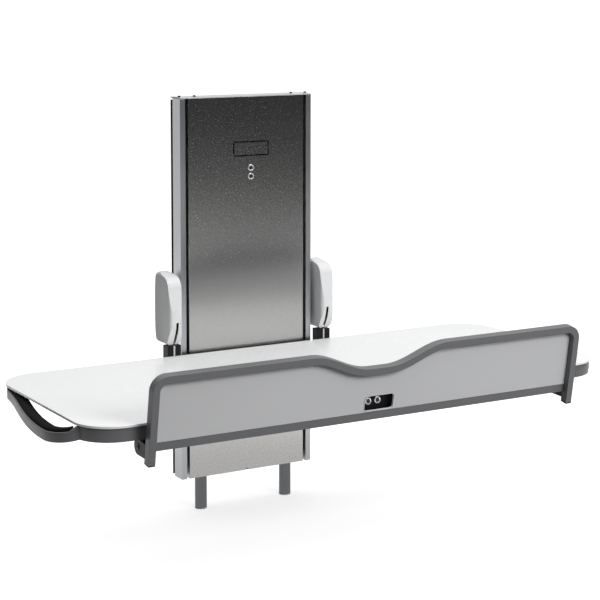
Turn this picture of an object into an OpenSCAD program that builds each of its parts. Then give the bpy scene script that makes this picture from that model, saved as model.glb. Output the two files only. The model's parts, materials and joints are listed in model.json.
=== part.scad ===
// Wall-hung adult changing station: a lifting column, a bed that folds up and a guard that swings down.
// X runs along the wall, Y runs into the wall, Z is up. The wall is the plane Y = 0, and the origin is the
// centre of the wall bolt pattern, at the middle of the column.

/* [Column] */
// Width of the lifting column
col_w = 490; // [460:1:560]
// Height of the lifting column
col_h = 1270; // [1220:1:1400]
// How far the column stands out from the wall
col_d = 70; // [70:1:80]
// Width of each side rail seen from the front
rail_w = 19; // [11:1:20]
// Shadow gap between the front panel and a side rail
rail_gap = 10; // [6:1:12]
// Wall of the side rails
rail_wall = 3; // [2:0.5:4]
// Sheet thickness of the front panel
panel_t = 1.5; // [1:0.1:2]
// Thickness of the back plate
back_t = 3; // [2:0.5:3]
// Thickness of the base plate and the head plate
end_t = 6; // [5:1:8]
// Thickness of the caps on top
cap_t = 4; // [3:1:6]
// Distance between the wall bolts, across
bolt_dx = 200; // [180:1:220]
// Distance of the wall bolts from the column's ends
bolt_end = 70; // [60:1:90]
// Diameter of the wall bolt holes
bolt_d = 11; // [9:0.5:13]

/* [Guide tubes] */
// Outer diameter of the guide tubes
tube_d = 40; // [36:1:42]
// Wall of the guide tubes
tube_wall = 3; // [2:0.5:4]
// Distance between the guide tubes
tube_dx = 322; // [318:1:326]
// Length of tube that stands out below the column
tube_drop = 111; // [80:1:160]
// Distance from the wall to the centre of the guide tubes
tube_y = 39; // [38:0.5:40]
// Height of the plug in each tube's lower end
foot_t = 8; // [6:1:12]

/* [Lift] */
// Travel of the bed above the drawn height
lift_up = 455; // [400:1:455]
// Travel of the bed below the drawn height
lift_down = 245; // [200:1:250]
// Outer diameter of the actuator's fixed tube
act_d = 50; // [48:1:52]
// Wall of each actuator tube
act_wall = 2.5; // [2:0.1:3]
// Running clearance between one actuator tube and the next, on the radius
act_fit = 0.1; // [0.05:0.01:0.1]
// Height of the actuator's base
act_base_h = 60; // [56:1:70]
// Thickness of the carriage plate
carriage_t = 8; // [6:1:8]
// Gap between the carriage plate and the back plate
carriage_gap = 1; // [0.5:0.1:1.5]
// Length of each slide block on its guide tube
block_h = 130; // [110:1:140]
// Wall of the slide bushes
bush_wall = 3; // [2:0.5:3.5]
// Running clearance of the bushes on the guide tubes, on the radius
bush_fit = 0.05; // [0.02:0.01:0.1]

/* [Bed] */
// Length of the board
bed_l = 1800; // [1700:1:1900]
// Depth of the board, from the wall side to the front
bed_d = 755; // [700:1:800]
// Thickness of the board
bed_t = 8; // [6:1:12]
// Radius of the board's corners
bed_r = 114; // [100:1:130]
// Radius of the board's two corners next to the column
bed_rear_r = 130; // [114:1:130]
// Gap between the column's front and the board
bed_gap = 26; // [24:1:34]
// How far the board's top lies below the middle of the column
bed_low = 208; // [190:1:220]
// Height of the frame under the board
frame_h = 40; // [36:1:44]
// Depth of the frame's rails
frame_w = 25; // [22:1:30]
// Wall of the frame's tubes
frame_wall = 2; // [1.5:0.5:3]
// How far the frame stays in from the board's edge
frame_in = 4; // [2:1:8]

/* [Hand-holds] */
// How far a hand-hold bows out past the frame's end
hold_out = 62; // [50:1:70]
// How far the bow dips below the board
hold_dip = 16; // [8:1:20]
// Thickness of the hand-hold with its grip
hold_t = 38; // [34:1:42]
// Thickness of the hand-hold's outer skin
hold_skin = 6; // [5:0.5:8]
// Length over which a hand-hold narrows at its end near the wall
hold_blend = 12; // [8:1:30]

/* [Hinges] */
// Height of the hinge axis above the board's top
hinge_up = 88; // [84:1:92]
// Distance from the wall to the hinge axis
hinge_y = 76; // [74:1:78]
// Diameter of the hinge pins
pin_d = 20; // [18:1:22]
// Thickness of the arm plates
arm_t = 6; // [6:1:8]
// Width of an arm plate
arm_w = 38; // [34:1:40]
// Thickness of the hinge bracket's cheeks
cheek_t = 6; // [5:1:6]
// Running clearance of the hinge bushes on their pins, on the radius
pin_fit = 0.05; // [0.02:0.01:0.1]
// Wire of the counterbalance springs
wire_d = 3.6; // [3:0.1:3.8]
// Turns of each counterbalance spring
spring_turns = 3.5; // [2.5:0.5:3.5]

/* [Covers] */
// Width of a cover, seen from the front
cover_w = 47; // [46:1:60]
// Height of a cover
cover_h = 236; // [230:1:240]
// How far a cover bulges out from the wall
cover_d = 122; // [120:1:124]
// Wall of the covers
cover_wall = 3; // [2:0.5:3]
// Width of the slot that lets the arm out
slot_w = 9; // [8.5:0.5:12]

/* [Guard] */
// Distance from the board's ends to the guard's legs
guard_in = 159; // [150:1:200]
// Height of the guard along its legs
guard_h = 262; // [250:1:290]
// Width of the guard's tube, seen from the front
guard_w = 22; // [20:1:24]
// Depth of the guard's tube
guard_t = 28; // [26:1:28]
// Wall of the guard's tube
guard_wall = 2.5; // [2:0.1:3]
// How far the guard leans out, in degrees
guard_lean = 9.5; // [5:0.5:10]
// Depth of the dip in the guard's top edge
dip_d = 57; // [40:1:60]
// Width of the dip where it leaves the straight edge
dip_w = 470; // [420:1:520]
// Width of the flat at the bottom of the dip
dip_flat = 60; // [40:1:90]
// Outer radius of the guard's top corners
guard_r = 46; // [42:1:60]
// Thickness of the guard's panel
sheet_t = 6; // [5:1:8]
// Width of the window in the panel
window_w = 100; // [90:1:110]
// Height of the window in the panel
window_h = 46; // [40:1:48]
// Diameter of the guard's pivot pins
guard_pin_d = 12; // [10:1:14]

/* [Buttons] */
// Diameter of the buttons
button_d = 13; // [11:0.5:14]
// Diameter of the column's button bezels
bezel_d = 21.5; // [20:0.5:23]
// Distance between the two buttons on the column
button_dz = 28.8; // [27:0.1:32]
// Distance between the two buttons on the bed
button_dx = 33; // [30:0.5:36]
// Travel of every button
button_travel = 1.5; // [1:0.1:2]

/* [Hidden] */
$fn = 64;

// Shared small sizes
cut = 1;
clear = 0.3;
fold_r = 1.5;

// Column
col_top = col_h / 2;
rail_out = col_w / 2;
panel_half = rail_out - rail_w - rail_gap;
panel_fold = 22;
rail_back = 14;
rail_web_in = 3;
panel_bottom = -col_top;
frame_bottom = -col_top + end_t;
panel_top = col_top - cap_t;
frame_top = col_top - cap_t - end_t;
notch_r = 6;
notch_x = -2;
head_half = panel_half - panel_t - rail_web_in;
cap_screw_d = 9;
cap_screw_t = 4;
cap_screw_y = 45;
cap_screw_x = 35;
button_x = 15;
button_under = 241;
button_top_z = col_top - button_under;
plate_w = 134;
plate_h = 50;
plate_t = 0.8;
plate_r = 6;
plate_under = 177;
plate_z = col_top - plate_under;
bezel_t = 2.4;
bolt_dz = col_h - 2 * bolt_end;
switch_d = 16;
switch_l = 9;
button_proud = 2.6;

// Actuator
act_gap = 5;
act_top_gap = 8;
act_hold = 90;
act_len = (lift_up + lift_down) / 2 + act_hold;
act_mid_len = act_len - act_gap;
act_r1 = act_d / 2;
act_r2 = act_r1 - act_wall - act_fit;
act_r3 = act_r2 - act_wall - act_fit;
act_base_w = 64;
act_floor = -col_top + end_t;
act_top = act_floor + act_base_h;
act_low_head = act_top + act_len + act_top_gap;
head_z = act_low_head + lift_down;
head_t = 12;
head_w = 60;
motor_d = 44;
motor_l = 96;
box_w = 88;
box_h = 120;
box_d = 50;
box_x = 44;
box_lift = 70;
supply_h = 185;

// Bed and hinges
bed_top = -bed_low;
bed_under = bed_top - bed_t;
frame_low = bed_under - frame_h;
bed_back = -col_d - bed_gap;
bed_front = bed_back - bed_d;
bed_half = bed_l / 2;
frame_r = bed_r - frame_in;
rear_frame_r = bed_rear_r - frame_in;
arc_x = bed_half - bed_r;
rear_arc_x = bed_half - bed_rear_r;
front_arc_y = bed_front + bed_r;
back_arc_y = bed_back - bed_rear_r;
hinge_z = bed_top + hinge_up;
cover_gap = 17;
cover_in = rail_out + cover_gap;
cover_out = cover_in + cover_w;
cheek_in = cover_in + cover_wall;
cheek_out = cover_out - cover_wall;
arm_off = 3;
arm_x = (cover_in + cover_out) / 2 - arm_off;
arm_front = 20;
arm_nose = 8;
arm_back = arm_w - arm_front;
cover_under = 52;
cover_base = hinge_z - cover_under;
cover_tuck = 33;
cover_mid = 88;
cover_high = 186;
cover_lean = 14;
cover_round_y = 44;
cover_round_z = 40;
cover_steps = 12;
cover_edge_r = 16;
cover_rear_r = 22;
cover_foot_r = 12;
cover_bulge = 2 / 3;
cover_back = 5;
shoe_w = 48;
shoe_under = 54;
shoe_top = hinge_z - shoe_under;
shoe_back = 60;
bush_flange_d = 34;
bush_d = 26;
spring_gap = 1.2;
spring_r = pin_d / 2 + wire_d / 2 + spring_gap;
nose_wall = 14;
slot_over = 6;

// Carriage
plate_from = 62;
plate_to = 232;
plate_low = bed_top + plate_from;
plate_high = bed_top + plate_to;
spine_half = 50;
block_half = 32;
block_z = (plate_low + plate_high - block_h) / 2;
bush_h = 30;
carriage_back = -back_t - carriage_gap;
carriage_front = carriage_back - carriage_t;
block_gap = 2.5;
block_front = -col_d + panel_t + block_gap;

// Hand-holds
hold_from = 23;
hold_peak = 0.2;
hold_steps = 44;
arc_steps = 12;
hold_y0 = front_arc_y - hold_from;
hold_end = 5;
hold_y1 = bed_back - bed_r - hold_end;
hold_past = 28;
skin_drop = 10;
hold_y2 = hold_y1 + hold_past;
front_blend = 12;

// Guard
guard_half = bed_half - guard_in;
guard_l = 2 * guard_half;
guard_out = 32;
guard_down = 117;
guard_foot_y = bed_front - guard_out;
guard_foot_z = bed_top - guard_down;
sheet_back = guard_t;
rail_s0 = 32;
rail_s1 = 58;
rail_deep = 12;
dip_steps = 20;
corner_steps = 8;
window_x = 18;
window_gap = 1;
window_s0 = rail_s1 + window_gap;
bezel_w = 3;
bezel_r = 12;
bezel_out = 1.2;
rail_clear = 4;
lug_t = 3;
lug_r = 24;
lug_s0 = 12;
lug_s1 = 54;
pivot_back = 38;
pivot_down = 75;
pivot_y = bed_front + pivot_back;
pivot_z = bed_top - pivot_down;
pin_head_d = 18;
pin_head_t = 2;
block_in = 4;
block_rise = 20;
block_back = 23;
block_foot = 18;
block_toe = 20;
end_cap_t = 3;
plug_h = 20;
outer_rail_x = guard_half + rail_clear + frame_w / 2;
button_box_w = 112;
button_box_d = 30;
button_box_face = 2;
box_lip = 16;
box_reach = 34;
bed_button_x = 12;
bed_button_z = bed_under - frame_h / 2;
bed_bezel_d = 22;

// A box between two corners
module span(a, b) {
    translate([min(a.x, b.x), min(a.y, b.y), min(a.z, b.z)])
        cube([abs(b.x - a.x), abs(b.y - a.y), abs(b.z - a.z)]);
}

// A copy at the right and one at the left
module both() {
    children();
    mirror([1, 0, 0]) children();
}

// A rod along X, from one X to another
module rod_x(r, x0, x1, y, z) {
    translate([x0, y, z]) rotate([0, 90, 0]) cylinder(r = r, h = x1 - x0);
}

// A rod along Y, from one Y to another
module rod_y(r, y0, y1, x, z) {
    translate([x, y0, z]) rotate([-90, 0, 0]) cylinder(r = r, h = y1 - y0);
}

// A hollow box tube between two corners, open at both ends along the named axis
module box_tube(a, b, wall, axis) {
    w = [axis == "x" ? -cut : wall, axis == "y" ? -cut : wall, wall];
    difference() {
        span(a, b);
        span(
            [min(a.x, b.x) + w.x, min(a.y, b.y) + w.y, min(a.z, b.z) + w.z],
            [max(a.x, b.x) - w.x, max(a.y, b.y) - w.y, max(a.z, b.z) - w.z]);
    }
}

// A rectangle with rounded corners, about its centre
module round_rect(w, h, r) {
    union() {
        square([w - 2 * r, h], center = true);
        square([w, h - 2 * r], center = true);
        for (x = [-1, 1], y = [-1, 1])
            translate([x * (w / 2 - r), y * (h / 2 - r)]) circle(r = r);
    }
}

// Section of the right side rail, with its front flange, side wall, rear flange and panel web
module rail_section() {
    translate([rail_out - rail_wall, -col_d]) square([rail_wall, col_d - rail_back]);
    translate([rail_out - rail_w, -col_d]) square([rail_w, rail_wall]);
    translate([rail_out - rail_w, -col_d]) square([rail_wall, panel_fold]);
    translate([rail_out - rail_w, -col_d + panel_fold - rail_wall]) square([rail_w, rail_wall]);
    translate([panel_half - panel_t - rail_web_in, -rail_back - rail_wall])
        square([rail_out - panel_half + panel_t + rail_web_in, rail_wall]);
    translate([panel_half - panel_t - rail_web_in, -col_d + panel_t + fold_r])
        square([rail_web_in, col_d - rail_back - panel_t - fold_r]);
}

module side_rail_right() {
    color("silver") translate([0, 0, panel_bottom])
        linear_extrude(panel_top - panel_bottom) rail_section();
}

module side_rail_left() {
    mirror([1, 0, 0]) side_rail_right();
}

module back_plate() {
    color("dimgray") difference() {
        span([-rail_out, -back_t, frame_bottom], [rail_out, 0, frame_top]);
        for (x = [-1, 1], z = [-1, 1])
            rod_y(bolt_d / 2, -back_t - cut, cut, x * bolt_dx / 2, z * bolt_dz / 2);
    }
}

// Where the two buttons of the column sit, from the top down
button_zs = [button_top_z, button_top_z - button_dz];

module front_panel() {
    color("lightsteelblue") difference() {
        union() {
            span([-panel_half, -col_d, panel_bottom], [panel_half, -col_d + panel_t, panel_top]);
            both() span([panel_half - panel_t, -col_d, panel_bottom],
                [panel_half, -col_d + panel_fold, panel_top]);
        }
        for (z = button_zs) rod_y(switch_d / 2, -col_d - cut, -col_d + panel_t + cut, button_x, z);
        rod_y(notch_r, -col_d - cut, -col_d + panel_t + cut, notch_x, panel_bottom);
    }
}

module blank_plate() {
    color("gray") translate([button_x, -col_d, plate_z]) rotate([90, 0, 0])
        linear_extrude(plate_t) round_rect(plate_w, plate_h, plate_r);
}

module base_plate() {
    color("gray") difference() {
        span([-head_half, -col_d + panel_t, -col_top], [head_half, 0, frame_bottom]);
        both() translate([tube_dx / 2, -tube_y, -col_top - cut])
            cylinder(d = tube_d, h = end_t + 2 * cut);
        translate([notch_x, -col_d + panel_t, -col_top - cut]) cylinder(r = notch_r, h = end_t + 2 * cut);
    }
}

module head_plate() {
    color("gray") span(
        [-head_half, -col_d + panel_t, frame_top], [head_half, 0, panel_top]);
}

module top_cap() {
    color("gainsboro") span([-panel_half, -col_d, panel_top], [panel_half, 0, col_top]);
}

module rail_caps() {
    color("gainsboro") both()
        span([panel_half + clear, -col_d, panel_top], [rail_out, 0, col_top]);
}

module cap_screws() {
    places = [panel_half - cap_screw_x, rail_out - rail_w / 2];
    color("black") both() for (x = places)
        translate([x, -cap_screw_y, col_top]) cylinder(d = cap_screw_d, h = cap_screw_t);
}

module guide_tubes() {
    color("darkgray") both() translate([tube_dx / 2, -tube_y, -col_top - tube_drop]) difference() {
        cylinder(d = tube_d, h = col_top + tube_drop + frame_top);
        translate([0, 0, -cut])
            cylinder(d = tube_d - 2 * tube_wall, h = col_h + tube_drop + 2 * cut);
    }
}

module tube_feet() {
    color("whitesmoke") both() translate([tube_dx / 2, -tube_y, -col_top - tube_drop]) union() {
        cylinder(d = tube_d - 2 * tube_wall, h = foot_t);
        translate([0, 0, -cap_t]) cylinder(d = tube_d, h = cap_t);
    }
}

// A telescopic actuator tube at the middle of the column, from one height to another
module act_tube(r, z0, z1) {
    translate([0, -tube_y, z0]) difference() {
        cylinder(r = r, h = z1 - z0);
        translate([0, 0, -cut]) cylinder(r = r - act_wall, h = z1 - z0 + 2 * cut);
    }
}

module actuator_base() {
    color("black") span(
        [-act_base_w / 2, -tube_y - act_r1, act_floor], [act_base_w / 2, -tube_y + act_r1, act_top]);
}

module lift_motor() {
    color("slategray") rod_x(motor_d / 2, act_base_w / 2, act_base_w / 2 + motor_l,
        -tube_y, act_floor + motor_d / 2 + cut);
}

module actuator_outer_tube() {
    color("silver") act_tube(act_r1, act_top, act_top + act_len);
}

module actuator_middle_tube() {
    z0 = act_top + act_gap + lift_down / 2;
    color("gainsboro") act_tube(act_r2, z0, z0 + act_mid_len);
}

module actuator_inner_tube() {
    z0 = act_top + 2 * act_gap + lift_down;
    color("silver") act_tube(act_r3, z0, head_z);
}

module control_box() {
    z0 = act_floor + box_lift;
    color("darkslategray")
        span([box_x, -back_t - box_d, z0], [box_x + box_w, -back_t, z0 + box_h]);
}

module power_supply() {
    color("gray") span(
        [-box_x - box_w, -back_t - box_d, act_floor], [-box_x, -back_t, act_floor + supply_h]);
}

// A bezel ring on a face that looks to the front
module bezel(d, x, y, z) {
    translate([x, y, z]) rotate([90, 0, 0]) difference() {
        union() {
            cylinder(d = d, h = bezel_t / 2);
            translate([0, 0, bezel_t / 2]) cylinder(d1 = d, d2 = d - bezel_t, h = bezel_t / 2);
        }
        translate([0, 0, -cut]) cylinder(d = button_d + 2 * act_fit, h = bezel_t + 2 * cut);
    }
}

// A button in its bezel, with a stem that runs into the switch behind it
module button(x, y, z) {
    translate([x, y, z]) rotate([90, 0, 0]) {
        translate([0, 0, -button_travel]) cylinder(d = button_d, h = button_travel + button_proud);
    }
}

// A switch body behind a face, hollow where its button travels
module switch_body(x, y, z, l) {
    translate([x, y, z]) rotate([-90, 0, 0]) difference() {
        cylinder(d = switch_d, h = l);
        translate([0, 0, -cut])
            cylinder(d = button_d + 2 * act_fit, h = cut + 2 * button_travel + clear);
    }
}

module column_bezels() {
    color("white") for (z = button_zs) bezel(bezel_d, button_x, -col_d, z);
}

module column_switches() {
    color("black") for (z = button_zs) switch_body(button_x, -col_d, z, switch_l);
}

module column_button_up() {
    color("black") button(button_x, -col_d, button_zs[0]);
}

module column_button_down() {
    color("black") button(button_x, -col_d, button_zs[1]);
}

module carriage_plate() {
    color("darkgray") union() {
        span([-cheek_out, carriage_front, plate_low], [cheek_out, carriage_back, plate_high]);
        span([-spine_half, carriage_front, plate_low], [spine_half, carriage_back, head_z + head_t]);
    }
}

module lift_head() {
    color("gray") span([-head_w / 2, -tube_y - act_r3, head_z],
        [head_w / 2, carriage_front, head_z + head_t]);
}

module slide_blocks() {
    color("silver") both() difference() {
        span([tube_dx / 2 - block_half, block_front, block_z],
            [tube_dx / 2 + block_half, carriage_front, block_z + block_h]);
        translate([tube_dx / 2, -tube_y, block_z - cut])
            cylinder(d = tube_d + 2 * bush_wall, h = block_h + 2 * cut);
    }
}

module slide_bushes() {
    color("ivory") both() for (z = [block_z, block_z + block_h - bush_h])
        translate([tube_dx / 2, -tube_y, z]) difference() {
            cylinder(d = tube_d + 2 * bush_wall, h = bush_h);
            translate([0, 0, -cut]) cylinder(d = tube_d + 2 * bush_fit, h = bush_h + 2 * cut);
        }
}

// Outline of a hinge cheek, drawn with Y to the right and Z up
module cheek_outline() {
    nose_r = pin_d / 2 + nose_wall;
    difference() {
        union() {
            translate([-hinge_y, hinge_z]) circle(r = nose_r);
            polygon([
                [carriage_front, hinge_z - nose_r], [-hinge_y, hinge_z - nose_r],
                [-hinge_y - nose_r, hinge_z], [-hinge_y, plate_high], [carriage_front, plate_high]
            ]);
        }
        translate([-hinge_y, hinge_z]) circle(d = pin_d);
    }
}

// A plate standing across X, from an outline drawn with Y to the right and Z up
module upright(x0, t) {
    translate([x0, 0, 0]) rotate([90, 0, 90]) linear_extrude(t) children();
}

module side_brackets() {
    color("dimgray") both() {
        upright(cheek_in, cheek_t) cheek_outline();
        upright(cheek_out - cheek_t, cheek_t) cheek_outline();
    }
}

module hinge_pins() {
    color("silver") both() rod_x(pin_d / 2, cheek_in, cheek_out, -hinge_y, hinge_z);
}

// A helix of wire as one closed tube, with its axis along X
module spring_coil(x0, length, r, wire, turns) {
    sides = 8;
    steps = 24 * turns;
    at = function(i) [x0 + wire / 2 + (length - wire) * i / steps, -r * cos(360 * i * turns / steps),
        r * sin(360 * i * turns / steps)];
    ring = function(i) [for (k = [0:sides - 1])
        at(i) + wire / 2 * [cos(360 * k / sides), -sin(360 * k / sides) * cos(360 * i * turns / steps),
            sin(360 * k / sides) * sin(360 * i * turns / steps)]];
    points = [for (i = [0:steps]) each ring(i)];
    sidewalls = [for (i = [0:steps - 1], k = [0:sides - 1])
        [i * sides + k, i * sides + (k + 1) % sides,
            (i + 1) * sides + (k + 1) % sides, (i + 1) * sides + k]];
    first = [for (k = [0:sides - 1]) sides - 1 - k];
    last = [for (k = [0:sides - 1]) steps * sides + k];
    polyhedron(points, concat([first, last], sidewalls));
}

module hinge_springs() {
    room = cheek_out - cheek_t - arm_x - arm_t / 2;
    color("darkgray") both() translate([0, -hinge_y, hinge_z])
        spring_coil(arm_x + arm_t / 2 + clear, room - clear, spring_r, wire_d, spring_turns);
}

// A cover's side outline as Y and height over its base, from the front's lower end over the top to the back
cover_loop = concat(
    [for (i = [0:cover_steps]) let (h = cover_mid * i / cover_steps)
        [-cover_d + cover_tuck * pow(1 - h / cover_mid, 2.1), h]],
    [for (i = [1:cover_steps]) let (u = i / cover_steps)
        [-cover_d + cover_lean * pow(u, 1.3), cover_mid + (cover_high - cover_mid) * u]],
    [for (i = [1:cover_steps]) let (a = 90 * i / cover_steps)
        [-cover_d + cover_lean + cover_round_y * (1 - cos(a)), cover_high + cover_round_z * sin(a)]],
    [for (i = [0:2 * cover_steps]) let (a = 90 - 90 * i / cover_steps)
        [-cover_back - cover_rear_r * (1 - pow(abs(cos(a)), cover_bulge)),
            cover_h / 2 * (1 + sign(a) * pow(abs(sin(a)), cover_bulge))]]);

// A cover's side outline drawn inwards by an inset, with Y to the right and Z up
module cover_outline(inset) {
    count = len(cover_loop);
    translate([0, cover_base]) polygon([for (i = [0:count - 1]) let (
        t = unit(cover_loop[(i + 1) % count] - cover_loop[(i + count - 1) % count]))
        cover_loop[i] + inset * [t.y, -t.x]]);
}

// Plan outline of the right cover, with round front corners
module cover_plan(inset) {
    r = cover_edge_r - inset;
    w = cover_w - 2 * inset;
    translate([cover_in + inset, -cover_d + inset + r])
        square([w, cover_d - r]);
    translate([cover_in + inset + r, -cover_d + inset]) square([w - 2 * r, cover_d]);
    for (x = [r, w - r]) translate([cover_in + inset + x, -cover_d + inset + r]) circle(r = r);
}

// Front outline of the right cover, with round corners
module cover_face(inset) {
    translate([(cover_in + cover_out) / 2, cover_base + cover_h / 2])
        round_rect(cover_w - 2 * inset, cover_h - 2 * inset, cover_edge_r - inset);
}

// One solid of the cover's outer or inner form
module cover_form(inset) {
    intersection() {
        upright(cover_in + inset, cover_w - 2 * inset) cover_outline(inset);
        translate([0, 0, cover_base - cut]) linear_extrude(cover_h + 2 * cut) cover_plan(inset);
        rotate([90, 0, 0]) linear_extrude(cover_d + cut) cover_face(inset);
    }
}

module cover_right() {
    color("white") difference() {
        cover_form(0);
        cover_form(cover_wall);
        span([cover_in + cover_wall, -cover_back - 5 * cover_wall, cover_base + cover_foot_r],
            [cover_out - cover_wall, 0, cover_base + cover_h - cover_rear_r]);
        span([cover_in + cover_edge_r / 2, -cover_d + cover_tuck + 2 * cover_wall, cover_base - cut],
            [cover_out - cover_edge_r / 2, -cover_back - cover_rear_r, cover_base + 2 * cover_wall]);
        span([arm_x - slot_w / 2, -cover_d - cut, cover_base - cut],
            [arm_x + slot_w / 2, -hinge_y, hinge_z + arm_front + slot_over]);
        span([cover_in - cut, -rail_back - rail_wall, plate_low - clear],
            [cover_in + cover_wall + cut, cut, plate_high + clear]);
    }
}

module cover_left() {
    mirror([1, 0, 0]) cover_right();
}

module arm_right() {
    color("gainsboro") upright(arm_x - arm_t / 2, arm_t) difference() {
        union() {
            translate([-hinge_y, hinge_z]) circle(r = arm_front);
            translate([-hinge_y - arm_nose, shoe_top]) square([arm_nose + arm_back, hinge_z - shoe_top]);
            translate([-hinge_y - arm_front, frame_low]) square([arm_w, shoe_top - frame_low]);
        }
        translate([-hinge_y, hinge_z]) circle(d = bush_d);
    }
}

module arm_left() {
    mirror([1, 0, 0]) arm_right();
}

// The shoe clamps the arm behind the frame and steps in under the board
module arm_shoe_right() {
    face = -hinge_y - arm_front;
    color("black") difference() {
        union() {
            span([arm_x - shoe_w / 2, bed_back + clear, frame_low],
                [arm_x + shoe_w / 2, -shoe_back, shoe_top]);
            span([arm_x - shoe_w / 2, bed_back - frame_in, frame_low],
                [arm_x + shoe_w / 2, -shoe_back, bed_under]);
        }
        span([arm_x - arm_t / 2, face - cut, frame_low - cut],
            [arm_x + arm_t / 2, -hinge_y + arm_back, shoe_top + cut]);
    }
}

module arm_shoe_left() {
    mirror([1, 0, 0]) arm_shoe_right();
}

module hinge_bushes() {
    inner = cheek_in + cheek_t + clear;
    color("goldenrod") both() difference() {
        union() {
            rod_x(bush_d / 2, arm_x - arm_t / 2, arm_x + arm_t / 2, -hinge_y, hinge_z);
            rod_x(bush_flange_d / 2, inner, arm_x - arm_t / 2, -hinge_y, hinge_z);
        }
        rod_x(pin_d / 2 + pin_fit, inner - cut, arm_x + arm_t / 2 + cut, -hinge_y, hinge_z);
    }
}

// The board in plan about its middle, with wider corners next to the column
module board_outline() {
    square([bed_l, bed_d - 2 * bed_rear_r], center = true);
    translate([-bed_half, bed_r - bed_d / 2]) square([bed_l, bed_d / 2 - bed_r]);
    translate([-arc_x, -bed_d / 2]) square([2 * arc_x, bed_d / 2]);
    translate([-rear_arc_x, 0]) square([2 * rear_arc_x, bed_d / 2]);
    for (side = [-1, 1]) {
        translate([side * arc_x, bed_r - bed_d / 2]) circle(r = bed_r);
        translate([side * rear_arc_x, bed_d / 2 - bed_rear_r]) circle(r = bed_rear_r);
    }
}

module board() {
    color("white") translate([0, (bed_back + bed_front) / 2, bed_under])
        linear_extrude(bed_t) board_outline();
}

module front_rail() {
    y = bed_front + frame_in;
    color("dimgray") difference() {
        box_tube([-arc_x, y, frame_low], [arc_x, y + frame_w, bed_under], frame_wall, "x");
        span([bed_button_x - button_box_w / 2, y - cut, bed_under - frame_h + frame_wall],
            [bed_button_x + button_box_w / 2, y + frame_w + cut, bed_under - frame_wall]);
    }
}

module rear_rail() {
    y = bed_back - frame_in;
    color("dimgray")
        box_tube([-rear_arc_x, y, frame_low], [rear_arc_x, y - frame_w, bed_under], frame_wall, "x");
}

// A pair of rails that run from the rear rail to the front rail
module cross_pair(x) {
    both() box_tube([x - frame_w / 2, bed_back - frame_in - frame_w, frame_low],
        [x + frame_w / 2, bed_front + frame_in + frame_w, bed_under], frame_wall, "y");
}

module outer_cross_rails() {
    color("dimgray") cross_pair(outer_rail_x);
}

module inner_cross_rails() {
    color("dimgray") cross_pair(arm_x);
}

module board_screws() {
    screw_r = 5;
    color("black") both() for (x = [arm_x, outer_rail_x],
        share = [0.25, 0.5, 0.75])
        translate([x, bed_back - share * bed_d, frame_low - end_cap_t]) cylinder(r = screw_r, h = end_cap_t);
}

// Plan path of the right hand-hold, from the front rail round to the rear rail
function hold_rise(y) = let (u = (y - hold_y0) / (hold_y1 - hold_y0))
    u <= 0 || u >= 1 ? 0 :
    u < hold_peak ? pow(sin(90 * u / hold_peak), 0.55) :
    pow(cos(90 * (u - hold_peak) / (1 - hold_peak)), 1.25);
function hold_base() = concat(
    [for (i = [0:arc_steps]) let (a = 90 * i / arc_steps)
        [arc_x + frame_r * sin(a), front_arc_y - frame_r * cos(a)]],
    [for (i = [1:hold_steps]) [arc_x + frame_r, front_arc_y + (back_arc_y - front_arc_y) * i / hold_steps]],
    [for (i = [1:arc_steps]) let (a = 90 * i / arc_steps)
        [rear_arc_x + rear_frame_r * cos(a), back_arc_y + rear_frame_r * sin(a)]]);
function hold_path() = [for (p = hold_base()) [p.x + hold_out * hold_rise(p.y), p.y]];
function unit(v) = v / norm(v);
function inward(path, i) = let (last = len(path) - 1,
    t = i == 0 ? [1, 0] : i == last ? [-1, 0] : unit(path[i + 1] - path[i - 1])) [-t.y, t.x];
function hold_share(y) = max(0, min(1, (y - hold_y0) / front_blend, (hold_y2 - y) / hold_blend));
function hold_depth(y) = frame_w + (hold_t - frame_w) * hold_share(y);
function skin_depth(y) = frame_w + (hold_skin - frame_w) * hold_share(y);

// A bar swept along the hand-hold's path, from one depth to another at each station
module hold_bar(path, first, last, near, far, top, low, drop = 0) {
    rows = [for (i = [first:last]) let (
        n = inward(path, i), y = hold_base()[i].y, dip = hold_dip * hold_rise(y),
        a = path[i] + near(y) * n, b = path[i] + far(y) * n, high = top - dip - drop * hold_share(y))
        [[a.x, a.y, high], [b.x, b.y, high], [b.x, b.y, low - dip], [a.x, a.y, low - dip]]];
    count = len(rows);
    faces = [for (i = [0:count - 2], k = [0:3])
        [4 * i + k, 4 * i + (k + 1) % 4, 4 * (i + 1) + (k + 1) % 4, 4 * (i + 1) + k]];
    polyhedron([for (row = rows) each row],
        concat([[3, 2, 1, 0]], [[for (k = [0:3]) 4 * (count - 1) + k]], faces));
}

module end_handle_right() {
    path = hold_path();
    color("dimgray") hold_bar(path, 0, len(path) - 1, function(y) 0, function(y) skin_depth(y),
        bed_under, frame_low, skin_drop);
}

module end_handle_left() {
    mirror([1, 0, 0]) end_handle_right();
}

module handle_grip_right() {
    path = hold_path();
    base = hold_base();
    inside = [for (i = [0:len(base) - 1]) if (hold_share(base[i].y) > 1 / 4) i];
    color("black") hold_bar(path, inside[0], inside[len(inside) - 1], function(y) skin_depth(y),
        function(y) hold_depth(y), bed_under - frame_wall / 2, frame_low + frame_wall / 2);
}

module handle_grip_left() {
    mirror([1, 0, 0]) handle_grip_right();
}

// Where the two buttons of the bed sit
bed_button_xs = [bed_button_x - button_dx / 2, bed_button_x + button_dx / 2];

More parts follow.
